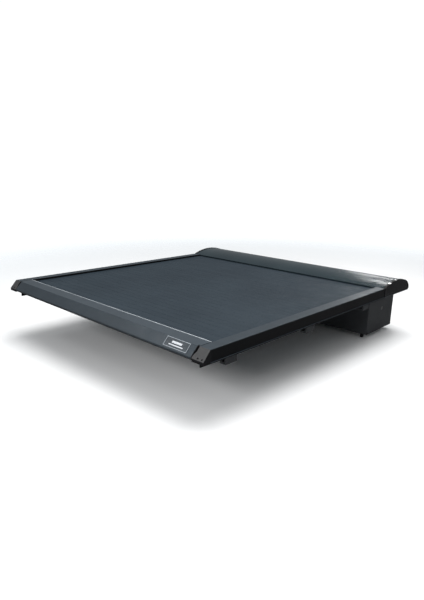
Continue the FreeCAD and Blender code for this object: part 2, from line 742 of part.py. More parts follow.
def bar_end_blocks():
    """Moulded blocks that close the bar's ends, ride in the rails and guide the latch rods."""
    block = new_body("bar_end_block")
    low, high = "latch_height - 9", "bar_top - bar_skin - 0.1"
    front, back = "latch_line + boss_half", "latch_line - boss_half"
    plate = [
        ("shoe_front", "bracket_low"),
        ("shoe_front", high),
        (slope_place(high + " + 0.5 / cos(bar_slope)"), high),
        ("bar_back + 1", slope_height("bar_back + 1", "0.5")),
        ("bar_back + 1", "bar_bottom"),
        (back, "bar_bottom"),
        (back, low),
        (front, low),
        (front, "bracket_low"),
    ]
    add_pad(block, "YZ_Plane", "bar_notch", [plate], "block_plate")
    shoe = box_loop("shoe_back", "shoe_front", "shoe_low", "shoe_high")
    add_pad(block, "YZ_Plane", "shoe_start", [shoe], "shoe_end - shoe_start")
    boss = box_loop(back, front, low, "shoe_low + 1")
    add_pad(block, "YZ_Plane", "block_inner", [boss], "bar_notch - block_inner")
    foot = [
        ("bar_box", "bracket_low"),
        ("shoe_front", "bracket_low"),
        ("shoe_front", "bracket_low + bracket_wall"),
        ("bar_box + bracket_wall", "bracket_low + bracket_wall"),
        ("bar_box + bracket_wall", "bracket_low + 16"),
        ("bar_box", "bracket_low + 16"),
    ]
    add_pad(block, "YZ_Plane", "block_inner", [foot], "bar_notch - block_inner")
    bore = ring("latch_line", "latch_height", "rod_radius + rod_play")
    add_cut(block, "YZ_Plane", "block_inner - 1", [bore], "bar_notch + block_plate - block_inner + 2")
    hole = ring("bar_notch - 10", "bracket_low + 8", "screw_hole")
    add_cut(block, "XZ_Plane", "-(bar_box + bracket_wall)", [hole], "bracket_wall + 1")
    both_sides(block, "bar_end_block")


def tailgate_seal():
    """A hollow rubber bulb under the rear edge, which closes on the tailgate."""
    section = [
        ("bulb_front", "bar_bottom"),
        ("bulb_back", "bar_bottom"),
        ("bulb_back", "bar_bottom - 1.5", "bulb_radius"),
        ("bulb_front", "bar_bottom - 1.5"),
    ]
    hollow = ring("(bulb_front + bulb_back) / 2", "bar_bottom - 3.6", "bulb_hollow")
    keep(across_truck("tailgate_seal", [section, hollow], "bar_notch - 6"), "tailgate_seal")


def badge_plate():
    """A blank plate on the bar's sloping face, near its right-hand end."""
    plate = doc.addObject("Part::Box", "badge_plate")
    plate.setExpression("Length", ref("badge_width"))
    plate.setExpression("Width", ref("badge_height"))
    plate.setExpression("Height", ref("badge_thick"))
    slope = FreeCAD.Rotation(FreeCAD.Vector(1, 0, 0), value("bar_slope"))
    plate.Placement = FreeCAD.Placement(FreeCAD.Vector(), slope)
    corner = (
        "badge_middle - badge_width / 2",
        "bar_back + badge_inset * cos(bar_slope)",
        "bar_nose + badge_inset * sin(bar_slope)",
    )
    for letter, formula in zip("xyz", corner):
        plate.setExpression(".Placement.Base." + letter, ref(formula))
    keep(plate, "badge_plate")


# Latch


def latch_bracket():
    """A bent plate inside the bar, with the bearing hole of the cam's spindle."""
    section = [
        ("bar_box", "bracket_low"),
        ("bracket_front", "bracket_low"),
        ("bracket_front", "bar_top - bar_skin"),
        ("bracket_front - bracket_wall", "bar_top - bar_skin"),
        ("bracket_front - bracket_wall", "bracket_low + bracket_wall"),
        ("bar_box + bracket_wall", "bracket_low + bracket_wall"),
        ("bar_box + bracket_wall", "bracket_low + 16"),
        ("bar_box", "bracket_low + 16"),
    ]
    bracket = across_truck("latch_bracket", [section], "bracket_half")
    bearing = ring("0", "latch_line", "spindle + bearing_play")
    add_cut(bracket, "XY_Plane", "bracket_low - 1", [bearing], "bracket_wall + 2")
    screws = [ring(sign + "(bracket_half - 12)", "bracket_low + 8", "screw_hole")
              for sign in ("", "-")]
    add_cut(bracket, "XZ_Plane", "-(bar_box + bracket_wall + 1)", screws, "bracket_wall + 2")
    keep(bracket, "latch_bracket")


def latch_cam():
    """A disc with two pins that draw the rods in, on a spindle that the handle turns."""
    cam = new_body("latch_cam")
    centre = ("0", "latch_line")
    add_pad(cam, "XY_Plane", "cam_low", [ring(*centre, "cam_radius")], "cam_thick")
    add_pad(cam, "XY_Plane", "spindle_low", [ring(*centre, "spindle")], "spindle_high - spindle_low")
    pins = [ring(sign + "(-crank * sin(cam_rest))", "latch_line - (%scrank * cos(cam_rest))" % sign,
                 "pin_radius") for sign in ("", "-")]
    add_pad(cam, "XY_Plane", "link_low - 0.5", pins, "cam_low - link_low + 1")
    keep(cam, "latch_cam")


def spindle_clip():
    """A ring that keeps the spindle in its bracket."""
    clip = new_body("spindle_clip")
    rings = [ring("0", "latch_line", "spindle + 3"), ring("0", "latch_line", "spindle")]
    add_pad(clip, "XY_Plane", "bracket_low + bracket_wall + 0.3", rings, "1.2")
    keep(clip, "spindle_clip")


def release_handle():
    """A grip under the bar, turned by hand to throw or draw the latch rods."""
    handle = new_body("release_handle")
    half, wide = "(handle_length - handle_width) / 2", "handle_width / 2"
    grip = [
        ("-" + half, "latch_line - " + wide),
        (half, "latch_line - " + wide, wide + " + 0.01"),
        (half, "latch_line + " + wide),
        ("-" + half, "latch_line + " + wide, wide + " + 0.01"),
    ]
    add_pad(handle, "XY_Plane", "handle_low", [grip], "handle_high - handle_low")
    hub = ring("0", "latch_line", "hub_radius")
    add_pad(handle, "XY_Plane", "handle_low", [hub], "hub_high - handle_low")
    socket = ring("0", "latch_line", "spindle")
    add_cut(handle, "XY_Plane", "spindle_low", [socket], "hub_high - spindle_low + 1")
    keep(handle, "release_handle")


def latch_rods():
    """A round rod for each side, with a flat link that a cam pin works in."""
    rod = new_body("latch_rod")
    pin_far = "latch_line - crank"
    pin_near = "latch_line - crank * cos(cam_rest)"
    middle = "-crank * sin(cam_rest)"
    link = [
        ("-14", "latch_line - link_far"),
        ("rod_start + 4", "latch_line - link_far"),
        ("rod_start + 4", "latch_line + 6"),
        ("rod_start - 10", "latch_line + 6"),
        ("rod_start - 10", "latch_line - link_side"),
        ("-14", "latch_line - link_side"),
    ]
    add_pad(rod, "XY_Plane", "link_low", [link], "link_thick")
    riser = box_loop("rod_start - 10", "rod_start + 4", "latch_line - 6", "latch_line + 6")
    add_pad(rod, "XY_Plane", "link_low", [riser], "latch_height + 4 - link_low")
    bar = ring("latch_line", "latch_height", "rod_radius")
    add_pad(rod, "YZ_Plane", "rod_start", [bar], "rod_end - rod_start")
    slot = box_loop(middle + " - pin_radius - pin_play", middle + " + pin_radius + pin_play",
                    pin_far + " - pin_radius - pin_play", pin_near + " + pin_radius + pin_play")
    add_cut(rod, "XY_Plane", "link_low - 1", [slot], "link_thick + 2")
    keep(rod, "latch_rod_right")
    group("latch_rod_left", rod, [spot("0", "2 * latch_line", "0", (0, 0, 1), 180)])


# Canister


def arch_loop(back, low, drop):
    """The outline of the canister's arched end, inset from the cap's outer face by drop."""
    return [
        (back, low),
        ("-(%s)" % drop, low),
        ("-(%s)" % drop, "lid_front + shell_rise - 1", "brow - (%s)" % drop),
        ("lid_turn - (%s) / 2" % drop, "lid_turn_top + shell_rise - (%s)" % drop,
         "arch - (%s)" % drop),
        (back, "lid_back + shell_rise - (%s)" % drop),
    ]


def canister_lid():
    """The arched aluminium lid, with a lip over the curtain."""
    outer = [
        ("mouth", "lid_lip"),
        ("mouth + lid_wall", "lid_lip"),
        ("mouth + lid_wall", "lid_back - lid_wall + 0.9", "-(arch - lid_wall)"),
        ("lid_turn - 1.4", "lid_turn_top - lid_wall", "-(brow - lid_wall)"),
        ("-(lid_wall + 0.6)", "lid_front"),
        ("-0.6", "lid_front", "brow"),
        ("lid_turn", "lid_turn_top", "arch"),
        ("mouth", "lid_back"),
    ]
    keep(across_truck("canister_lid", [outer], "lid_half"), "canister_lid")


def mouth_seal():
    """A rubber blade behind the lid's lip, just clear of the slats."""
    top, low = "slat_bottom + slat_thick + 6", "slat_bottom + slat_thick + seal_gap"
    blade = [
        ("mouth + lid_wall", top),
        ("mouth + lid_wall", low + " + 2"),
        ("mouth + lid_wall + 2", low),
        ("mouth + lid_wall + 4", low),
        ("mouth + lid_wall + 4", top),
    ]
    keep(across_truck("mouth_seal", [blade], "lid_half - 1"), "mouth_seal")


def canister_tray():
    """The trough that holds the drum, with four screw ports in its corners."""
    front, back = "-tray_wall", "tray_back + tray_wall"
    floor = "tray_bottom + tray_wall"
    outer = [
        ("tray_back", "tray_back_top"),
        ("tray_back", "tray_bottom"),
        ("0", "tray_bottom"),
        ("0", "tray_front_top"),
        (front, "tray_front_top"),
        (front, "port_front_top"),
        (front + " - port", "port_front_top"),
        (front + " - port", "port_front_top - port"),
        (front, "port_front_top - port"),
        (front, floor + " + port"),
        (front + " - port", floor + " + port"),
        (front + " - port", floor),
        (back + " + port", floor),
        (back + " + port", floor + " + port"),
        (back, floor + " + port"),
        (back, "port_back_top - port"),
        (back + " + port", "port_back_top - port"),
        (back + " + port", "port_back_top"),
        (back, "port_back_top"),
        (back, "tray_back_top"),
    ]
    holes = [ring(*port, "port_hole") for port in port_centres()]
    tray = across_truck("canister_tray", [outer] + holes, "tray_half")
    drains = [ring(sign + "drain_side", "drain_line", "drain_bore") for sign in ("", "-")]
    add_cut(tray, "XY_Plane", "tray_bottom - 1", drains, "tray_wall + 2")
    keep(tray, "canister_tray")


def port_centres():
    """The middles of the tray's four screw ports, along the truck and up."""
    front, back = "-tray_wall - port / 2", "tray_back + tray_wall + port / 2"
    low = "tray_bottom + tray_wall + port / 2"
    return [
        (front, "port_front_top - port / 2"),
        (front, low),
        (back, low),
        (back, "port_back_top - port / 2"),
    ]


def canister_ends():
    """The canister's end plates, each with a shelf on the bed rail and the last of the track."""
    end = new_body("canister_end")
    plate = [
        ("tray_back", "tray_bottom"),
        ("0", "tray_bottom"),
        ("0", "tray_front_top - 3"),
        ("end_nose", "track_floor"),
        ("tray_back", "track_floor"),
    ]
    add_pad(end, "YZ_Plane", "end_inner", [plate], "end_wall")
    outer_wall = "end_inner + end_wall"
    track = [
        ("end_inner", "track_floor"),
        ("end_inner", "0"),
        ("rail_outer + lip_width", "0"),
        ("rail_outer + lip_width", "lip_height"),
        ("side_inner + rail_wall", "lip_height"),
        ("side_inner + rail_wall", "side_top"),
        ("side_inner", "side_top"),
        ("side_inner", "track_floor"),
    ]
    chamber = box_loop(outer_wall, "side_inner", "rail_wall", "track_floor - rail_wall")
    add_pad(end, "XZ_Plane", "-end_nose", [track, chamber], "end_nose - mouth")
    trim = box_loop("side_front", "0", "track_floor", "rail_top")
    add_cut(end, "YZ_Plane", "side_inner - 1", [trim], "rail_wall + 2")
    shafts = [ring("drum_line", "drum_height", "shaft_radius + bearing_play"),
              ring("roller_line", "roller_height", "axle_radius + bearing_play")]
    screws = [ring(*port, "port_hole") for port in port_centres()]
    add_cut(end, "YZ_Plane", "end_inner - 1", shafts + screws, "end_wall + 2")
    both_sides(end, "canister_end")


def canister_caps():
    """Glossy caps over the ends of the lid, each with a rim round a recessed side."""
    cap = new_body("canister_cap")
    add_pad(cap, "YZ_Plane", "shell_inner", [arch_loop("mouth", "shell_low", "0")],
            "shell_outer - shell_inner")
    hollow = arch_loop("mouth - 1", "0", "lid_wall")
    add_cut(cap, "YZ_Plane", "shell_inner - 1", [hollow], "shell_outer - shell_wall - shell_inner + 1")
    recess = arch_loop("mouth + recess_rim", "shell_low + recess_rim", "recess_rim")
    add_cut(cap, "YZ_Plane", "shell_outer - recess", [recess], "recess + 1")
    both_sides(cap, "canister_cap")


def canister_screws():
    """Button-head screws through the end plates into the tray's screw ports."""
    screw = turned("canister_screw", [
        ("0", "-16"),
        ("port_hole - 0.1", "-16"),
        ("port_hole - 0.1", "0"),
        ("4.5", "0"),
        ("4.5", "1"),
        ("3", "2.4"),
        ("1.4", "2.4"),
        ("1.4", "1"),
        ("0", "1"),
    ])
    side = "end_inner + end_wall"
    spots = []
    for along, up in port_centres()[1:]:
        spots.append(spot(side, along, up, (0, 1, 0), 90))
        spots.append(spot("-(%s)" % side, along, up, (0, 1, 0), -90))
    group("canister_screws", screw, spots)


def drain_spouts():
    """Barbed spouts under the tray, for drain hoses."""
    top = "tray_bottom"
    spout = turned("drain_spout", [
        ("drain_bore", "-drain_flange_thick - drain_length"),
        ("drain_radius - 1", "-drain_flange_thick - drain_length"),
        ("drain_radius", "-drain_flange_thick - drain_length + 2"),
        ("drain_radius", "-drain_flange_thick"),
        ("drain_flange", "-drain_flange_thick"),
        ("drain_flange", "0"),
        ("drain_bore", "0"),
    ])
    for label, sign in (("drain_spout_right", ""), ("drain_spout_left", "-")):
        group(label, spout, [spot(sign + "drain_side", "drain_line", top)])


# Drum and guide roller


def drum():
    """The winding drum: a tube with an end plug and a bearing at each end."""
    centre = ("drum_line", "drum_height")
    tube = [ring(*centre, "drum_radius"), ring(*centre, "drum_radius - drum_wall")]
    keep(across_truck("drum_tube", tube, "drum_half"), "drum_tube")
    plug = new_body("drum_plug")
    rings = [ring(*centre, "drum_radius - drum_wall"), ring(*centre, "bearing_radius")]
    add_pad(plug, "YZ_Plane", "drum_half - plug_length", rings, "plug_length")
    bearing = new_body("drum_bearing")
    rings = [ring(*centre, "bearing_radius"), ring(*centre, "shaft_radius + bearing_play")]
    add_pad(bearing, "YZ_Plane", "drum_half - bearing_length + 2", rings, "bearing_length")
    ends = [spot("0", "0", "0"), spot("0", "2 * drum_line", "0", (0, 0, 1), 180)]
    group("drum_end_plugs", plug, ends)
    group("drum_bearings", bearing, ends)


def torsion_spring():
    """The spring round the shaft, inside the drum, that helps to wind the curtain in."""
    coil = new_body("torsion_spring")
    sketch = new_sketch(coil, "XZ_Plane", "0", [ring("coil_radius", "0", "coil_wire")])
    helix = coil.newObject("PartDesign::AdditiveHelix", "torsion_spring_helix")
    helix.Profile = sketch
    helix.ReferenceAxis = (sketch, ["V_Axis"])
    helix.Mode = "pitch-height-angle"
    helix.setExpression("Pitch", ref("coil_pitch"))
    helix.setExpression("Height", ref("coil_length"))
    coil.Placement = FreeCAD.Placement(FreeCAD.Vector(), FreeCAD.Rotation(FreeCAD.Vector(0, 1, 0), 90))
    for letter, formula in zip("xyz", ("coil_start", "drum_line", "drum_height")):
        coil.setExpression(".Placement.Base." + letter, ref(formula))
    keep(coil, "torsion_spring")


def shafts():
    """The fixed shaft of the drum and the fixed axle of the guide roller."""
    shaft = [ring("drum_line", "drum_height", "shaft_radius")]
    keep(across_truck("drum_shaft", shaft, "shaft_half"), "drum_shaft")
    axle = [ring("roller_line", "roller_height", "axle_radius")]
    keep(across_truck("roller_axle", axle, "shaft_half"), "roller_axle")


def guide_roller():
    """The roller that the curtain turns down over, with a bush in each end."""
    centre = ("roller_line", "roller_height")
    tube = [ring(*centre, "roller_radius"), ring(*centre, "bush_radius")]
    keep(across_truck("guide_roller", tube, "roller_half"), "guide_roller")
    bush = new_body("roller_bush")
    rings = [ring(*centre, "bush_radius"), ring(*centre, "axle_radius + bearing_play")]
    add_pad(bush, "YZ_Plane", "roller_half - bush_length", rings, "bush_length")
    ends = [spot("0", "0", "0"), spot("0", "2 * roller_line", "0", (0, 0, 1), 180)]
    group("roller_bushes", bush, ends)


def check_and_write():
    """Stop on any failed object or bad shape, then write one file for each sub-part."""
    doc.recompute()
    for item in doc.Objects:
        if "Invalid" in item.State or "Error" in item.State:
            raise RuntimeError("%s did not recompute: %s" % (item.Label, item.State))
    os.makedirs("parts", exist_ok=True)
    for item in parts:
        shape = item.Shape
        if shape.isNull() or not shape.isValid() or not shape.Solids:
            raise RuntimeError("%s has no valid solid" % item.Label)
    for item in parts:
        item.Shape.exportStep("parts/%s.step" % item.Label)
        print("%-24s %3d solids %10.0f mm3" % (item.Label, len(item.Shape.Solids), item.Shape.Volume))


fill_sheet()
side_rails()
rail_seals()
rail_end_caps()
end_cap_screws()
rail_clamps()
clamp_bolts()
slats()
curtain_tethers()
pull_bar()
bar_screws()
bar_trim_strip()
bar_end_blocks()
tailgate_seal()
badge_plate()
latch_bracket()
latch_cam()
spindle_clip()
release_handle()
latch_rods()
canister_lid()
mouth_seal()
canister_tray()
canister_ends()
canister_caps()
canister_screws()
drain_spouts()
drum()
torsion_spring()
shafts()
guide_roller()
check_and_write()
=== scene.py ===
"""The looks of a retractable tonneau cover: its materials, its webbing, a plain floor and soft light."""
import math

import bmesh
import bpy
from mathutils import Matrix, Vector


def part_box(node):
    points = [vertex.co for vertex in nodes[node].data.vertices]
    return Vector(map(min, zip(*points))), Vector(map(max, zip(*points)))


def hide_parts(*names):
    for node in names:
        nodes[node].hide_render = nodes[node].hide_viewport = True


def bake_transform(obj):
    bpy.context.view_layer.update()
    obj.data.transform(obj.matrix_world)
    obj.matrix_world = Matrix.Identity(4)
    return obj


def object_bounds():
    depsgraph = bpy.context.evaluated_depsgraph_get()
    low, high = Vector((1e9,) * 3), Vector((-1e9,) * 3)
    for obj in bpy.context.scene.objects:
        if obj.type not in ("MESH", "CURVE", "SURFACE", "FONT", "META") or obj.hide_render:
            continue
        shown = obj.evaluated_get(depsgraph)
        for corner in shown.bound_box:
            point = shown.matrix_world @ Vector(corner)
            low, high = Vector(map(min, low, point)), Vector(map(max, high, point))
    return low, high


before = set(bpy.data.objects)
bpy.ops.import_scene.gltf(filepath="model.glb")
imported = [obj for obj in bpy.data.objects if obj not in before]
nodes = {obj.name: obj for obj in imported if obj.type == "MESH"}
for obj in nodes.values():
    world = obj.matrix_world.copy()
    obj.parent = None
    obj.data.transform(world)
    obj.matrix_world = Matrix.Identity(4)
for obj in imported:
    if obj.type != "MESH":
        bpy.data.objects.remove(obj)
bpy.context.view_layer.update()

X, Y, Z = 0, 1, 2

SLAT_PITCH = 0.0406
WEBBING_WIDTH = 0.05
WEBBING_THICK = 0.0015
WEBBING_SEWN = 0.0341    # length fixed under the last slat
WEBBING_INSET = 0.0055   # from the last slat's front edge to the end of the sewn length
WEBBING_GAP = 0.0003     # between the webbing and the drum
THREAD_WAVES = 2600.0    # radians for each metre of weave

FLOOR_RADIUS = 8.0
FLOOR_GAP = 0.002        # from the part's lowest point to the floor
FLOOR_FADE = (1.7, 3.6)  # distances from the origin between which the floor fades out
ROOM_LIGHT = 0.31        # strength with which the room lights the part
ROOM_SEEN = 1.1          # strength with which the camera sees the room


# Materials


class Surface:
    """A material that is built up step by step, with its textures laid out in the row frame."""

    def __init__(self, name, metallic=0.0, specular=0.5, sheen=0.0):
        self.material = bpy.data.materials.new(name)
        self.material.use_nodes = True
        self.tree = self.material.node_tree
        self.shader = self.tree.nodes["Principled BSDF"]
        self.shader.inputs["Metallic"].default_value = metallic
        self.shader.inputs["Specular IOR Level"].default_value = specular
        self.shader.inputs["Sheen Weight"].default_value = sheen
        self.place = self.add("ShaderNodeTexCoord").outputs["Object"]
        self.normal = None

    def add(self, kind, **settings):
        """Add a node, with its properties and its inputs' values."""
        node = self.tree.nodes.new(kind)
        for key, setting in settings.items():
            if hasattr(node, key):
                setattr(node, key, setting)
            else:
                node.inputs[key.replace("_", " ")].default_value = setting
        return node

    def join(self, output, target):
        self.tree.links.new(output, target)

    def stretched(self, scale):
        """The row frame's coordinates, stretched by a scale for each axis."""
        mapping = self.add("ShaderNodeMapping")
        mapping.inputs["Scale"].default_value = scale
        self.join(self.place, mapping.inputs["Vector"])
        return mapping.outputs["Vector"]

    def noise(self, scale, detail=3.0, stretch=None):
        """Noise from 0 to 1 whose spots are about 1/scale metres wide."""
        node = self.add("ShaderNodeTexNoise", Scale=scale, Detail=detail, Roughness=0.55)
        self.join(self.stretched(stretch) if stretch else self.place, node.inputs["Vector"])
        return node.outputs["Fac"]

    def ranged(self, source, low, high, to_low=0.0, to_high=1.0):
        """A number moved from one range to another and kept inside it."""
        node = self.add("ShaderNodeMapRange")
        self.join(source, node.inputs["Value"])
        for key, number in (("From Min", low), ("From Max", high),
                            ("To Min", to_low), ("To Max", to_high)):
            node.inputs[key].default_value = number
        return node.outputs["Result"]

    def maths(self, operation, first, second):
        node = self.add("ShaderNodeMath", operation=operation)
        for index, term in enumerate((first, second)):
            if isinstance(term, (int, float)):
                node.inputs[index].default_value = term
            else:
                self.join(term, node.inputs[index])
        return node.outputs[0]

    def part(self, axis, source=None):
        """One coordinate of a vector, the row frame's own if none is given."""
        node = self.add("ShaderNodeSeparateXYZ")
        self.join(source or self.place, node.inputs[0])
        return node.outputs[axis]

    def edges(self, radius):
        """Soften the edges by a radius, and return a mask that is 1 on them."""
        bevel = self.add("ShaderNodeBevel", samples=6, Radius=radius)
        flat = self.add("ShaderNodeNewGeometry")
        dot = self.add("ShaderNodeVectorMath", operation="DOT_PRODUCT")
        self.join(bevel.outputs["Normal"], dot.inputs[0])
        self.join(flat.outputs["Normal"], dot.inputs[1])
        self.normal = bevel.outputs["Normal"]
        return self.ranged(dot.outputs["Value"], 0.995, 0.8)

    def facing(self, axis):
        """How far the true surface faces along one axis of the row frame."""
        return self.part(axis, self.add("ShaderNodeNewGeometry").outputs["Normal"])

    def mixed(self, amount, first, second):
        """A colour between two, each a colour or another output."""
        node = self.add("ShaderNodeMix", data_type="RGBA")
        if isinstance(amount, float):
            node.inputs["Factor"].default_value = amount
        else:
            self.join(amount, node.inputs["Factor"])
        for key, colour in ((6, first), (7, second)):
            if isinstance(colour, tuple):
                node.inputs[key].default_value = (*colour, 1.0)
            else:
                self.join(colour, node.inputs[key])
        return node.outputs[2]

    def bump(self, height, depth, strength=1.0):
        """Add relief, with a full depth in metres."""
        node = self.add("ShaderNodeBump", Strength=strength, Distance=depth)
        self.join(height, node.inputs["Height"])
        if self.normal:
            self.join(self.normal, node.inputs["Normal"])
        self.normal = node.outputs["Normal"]

    def finish(self, colour, roughness):
        self.join(colour, self.shader.inputs["Base Color"])
        self.join(roughness, self.shader.inputs["Roughness"])
        if self.normal:
            self.join(self.normal, self.shader.inputs["Normal"])
        return self.material


def powder_coat(name, dark, light, roughness, specular, depth=0.00005, top=0.0, smear=0.05):
    """Powder-coated aluminium: fine grain, faint clouds, rubbed edges, and painted light that lightens
    the upward faces by the share top.
    """
    coat = Surface(name, specular=specular)
    edge = coat.edges(0.0009)
    clouds = coat.ranged(coat.noise(3.0, 4.0), 0.35, 0.65)
    colour = coat.mixed(clouds, dark, light)
    # Painted light: upward faces are lightened towards a blue-grey, as where the overhead light falls,
    # mottled by noise.
    if top:
        upward = coat.ranged(coat.facing(Z), 0.3, 1.0)
        painted_top_light = coat.maths("MULTIPLY", upward, coat.ranged(coat.noise(24.0, 5.0), 0.2, 0.8, 0.7, 1.0))
        colour = coat.mixed(coat.maths("MULTIPLY", painted_top_light, top), colour, (0.21, 0.28, 0.34))
    rubbed = coat.maths("MULTIPLY", edge, coat.ranged(coat.noise(90.0, 3.0), 0.4, 0.7, 0.05, 0.4))
    colour = coat.mixed(rubbed, colour, (0.16, 0.17, 0.18))
    coat.bump(coat.noise(1400.0, 2.0), depth)
    smears = coat.ranged(coat.noise(9.0, 4.0), 0.3, 0.7, roughness - smear, roughness + smear)
    return coat.finish(colour, smears)


def slat_coat():
    """The slats' coat: a very fine grain drawn along the slats, and a little tone of its own on each."""
    coat = Surface("slat_powder_coat", specular=0.12)
    edge = coat.edges(0.0005)
    number = coat.maths("FLOOR", coat.maths("MULTIPLY", coat.part(Y), 1 / SLAT_PITCH), 0)
    tone = coat.add("ShaderNodeTexWhiteNoise", noise_dimensions="1D")
    coat.join(number, tone.inputs["W"])
    colour = coat.mixed(coat.ranged(coat.noise(2.2, 4.0), 0.35, 0.65),
                        (0.016, 0.024, 0.032), (0.021, 0.031, 0.04))
    shade = coat.maths("MULTIPLY", tone.outputs["Value"], 0.15)
    colour = coat.mixed(shade, colour, (0.03, 0.042, 0.054))
    drawn = coat.noise(260.0, 3.0, (0.05, 1.0, 1.0))
    colour = coat.mixed(coat.ranged(drawn, 0.4, 0.62, 0.0, 0.35), colour, (0.012, 0.018, 0.024))
    # Painted highlight: the slats' edges are lightened, as where light catches them.
    colour = coat.mixed(coat.maths("MULTIPLY", edge, 0.12), colour, (0.1, 0.12, 0.14))
    coat.bump(drawn, 0.00008)
    coat.bump(coat.noise(1500.0, 2.0), 0.00006)
    return coat.finish(colour, coat.ranged(coat.noise(12.0, 4.0), 0.3, 0.7, 0.5, 0.62))


def bare_metal(name, colour, roughness, drawn=False):
    """Bare metal with fine grain, drawn across the truck if asked, a few scuffs and brighter edges."""
    metal = Surface(name, metallic=1.0)
    edge = metal.edges(0.0005)
    lines = metal.noise(900.0, 3.0, (0.03, 1.0, 1.0) if drawn else None)
    dull = tuple(part * 0.72 for part in colour)
    tone = metal.mixed(metal.ranged(metal.noise(14.0, 5.0), 0.35, 0.7), colour, dull)
    tone = metal.mixed(metal.ranged(lines, 0.4, 0.65, 0.0, 0.3), tone, dull)
    bright = tuple(min(1.0, part * 1.3) for part in colour)
    tone = metal.mixed(metal.maths("MULTIPLY", edge, 0.3), tone, bright)
    metal.bump(lines, 0.00004)
    return metal.finish(tone, metal.ranged(metal.noise(40.0, 4.0), 0.3, 0.7,
                                           roughness - 0.06, roughness + 0.08))


def moulding(name, dark, light, roughness, grain, depth, specular=0.4, painted_top_colour=None):
    """Moulded plastic with a grain, faint tone, rubbed edges and, if asked, painted light: a lighter
    colour on the upward faces.
    """
    plastic = Surface(name, specular=specular)
    edge = plastic.edges(0.0008)
    colour = plastic.mixed(plastic.ranged(plastic.noise(20.0, 4.0), 0.35, 0.65), dark, light)
    # Painted light: upward faces are moved towards a lighter colour, as where light falls on them,
    # mottled by noise.
    if painted_top_colour:
        upward = plastic.ranged(plastic.facing(Z), 0.1, 0.6)
        painted_top_share = plastic.maths("MULTIPLY", upward,
                              plastic.ranged(plastic.noise(50.0, 4.0), 0.2, 0.8, 0.85, 1.0))
        colour = plastic.mixed(painted_top_share, colour, painted_top_colour)
    rub = plastic.maths("MULTIPLY", edge, plastic.ranged(plastic.noise(120.0, 3.0), 0.4, 0.7, 0.1, 0.5))
    colour = plastic.mixed(rub, colour, tuple(min(1.0, part * 2.2 + 0.02) for part in light))
    cells = plastic.add("ShaderNodeTexVoronoi", Scale=grain)
    plastic.join(plastic.place, cells.inputs["Vector"])
    plastic.bump(cells.outputs["Distance"], depth)
    return plastic.finish(colour, plastic.ranged(plastic.noise(30.0, 4.0), 0.3, 0.7,
                                                 max(0.03, roughness - 0.05), roughness + 0.06))


def rubber():
    """Matt rubber with a faint bloom."""
    soft = Surface("seal_rubber", specular=0.25)
    soft.edges(0.0006)
    bloom = soft.ranged(soft.noise(60.0, 5.0), 0.4, 0.7)
    colour = soft.mixed(bloom, (0.012, 0.012, 0.013), (0.03, 0.03, 0.031))
    soft.bump(soft.noise(1100.0, 3.0), 0.00008)
    return soft.finish(colour, soft.ranged(bloom, 0.0, 1.0, 0.6, 0.8))


def woven():
    """Black webbing with crossing threads about 1.2 mm apart."""
    cloth = Surface("webbing", specular=0.2, sheen=0.3)
    across = cloth.maths("SINE", cloth.maths("MULTIPLY", cloth.part(X), THREAD_WAVES), 0)
    height = cloth.add("ShaderNodeVectorMath", operation="DOT_PRODUCT")
    cloth.join(cloth.place, height.inputs[0])
    height.inputs[1].default_value = (0.0, 0.55, -0.83)
    along = cloth.maths("SINE", cloth.maths("MULTIPLY", height.outputs["Value"], THREAD_WAVES), 0)
    weave = cloth.ranged(cloth.maths("MULTIPLY", across, along), -1.0, 1.0)
    fluff = cloth.noise(700.0, 4.0)
    colour = cloth.mixed(weave, (0.008, 0.008, 0.009), (0.035, 0.035, 0.038))
    colour = cloth.mixed(cloth.ranged(fluff, 0.5, 0.8, 0.0, 0.3), colour, (0.07, 0.07, 0.075))
    cloth.bump(weave, 0.0003)
    return cloth.finish(colour, cloth.ranged(fluff, 0.2, 0.8, 0.75, 0.95))


def badge():
    """A plain plate: dark, with a thin light border line and two plain light bars."""
    plate = Surface("badge_face", specular=0.2)
    low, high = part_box("badge_plate")
    middle, half = (low + high) / 2, (high - low) / 2
    across = plate.maths("ABSOLUTE", plate.maths("SUBTRACT", plate.part(X), middle.x), 0)
    up = plate.maths("ABSOLUTE", plate.maths("SUBTRACT", plate.part(Y), middle.y), 0)
    blur = 0.0002

    def margin(side, end):
        """A mask that is 1 nearer to the plate's edge than these insets."""
        return plate.maths("MAXIMUM",
                           plate.ranged(across, half.x - side - blur, half.x - side + blur),
                           plate.ranged(up, half.y - end - blur, half.y - end + blur))

    line = plate.maths("SUBTRACT", margin(0.003, 0.0024), margin(0.0012, 0.0011))
    colour = plate.mixed(plate.ranged(plate.noise(60.0, 4.0), 0.35, 0.7),
                         (0.03, 0.036, 0.042), (0.042, 0.05, 0.058))
    colour = plate.mixed(plate.maths("MULTIPLY", line, 0.75), colour, (0.3, 0.33, 0.36))
    bars = None
    for centre, reach, thick in ((0.18, 0.42, 0.2), (-0.38, 0.6, 0.1)):
        offset = plate.maths("SUBTRACT", plate.part(Y), middle.y + centre * half.y)
        within = plate.ranged(plate.maths("ABSOLUTE", offset, 0),
                              thick * half.y + blur, thick * half.y - blur)
        wide = plate.ranged(across, reach * half.x + 0.0003, reach * half.x - 0.0003)
        bar = plate.maths("MULTIPLY", within, wide)
        bars = plate.maths("MAXIMUM", bars, bar) if bars else bar
    colour = plate.mixed(plate.maths("MULTIPLY", bars, 0.8), colour, (0.55, 0.57, 0.6))
    plate.bump(plate.noise(1200.0, 2.0), 0.00003)
    return plate.finish(colour, plate.ranged(plate.noise(50.0, 3.0), 0.3, 0.7, 0.25, 0.4))


def paint(material, *names):
    """Give CAD nodes a material."""
    for name in names:
        slots = nodes[name].data.materials
        slots.clear()
        slots.append(material)


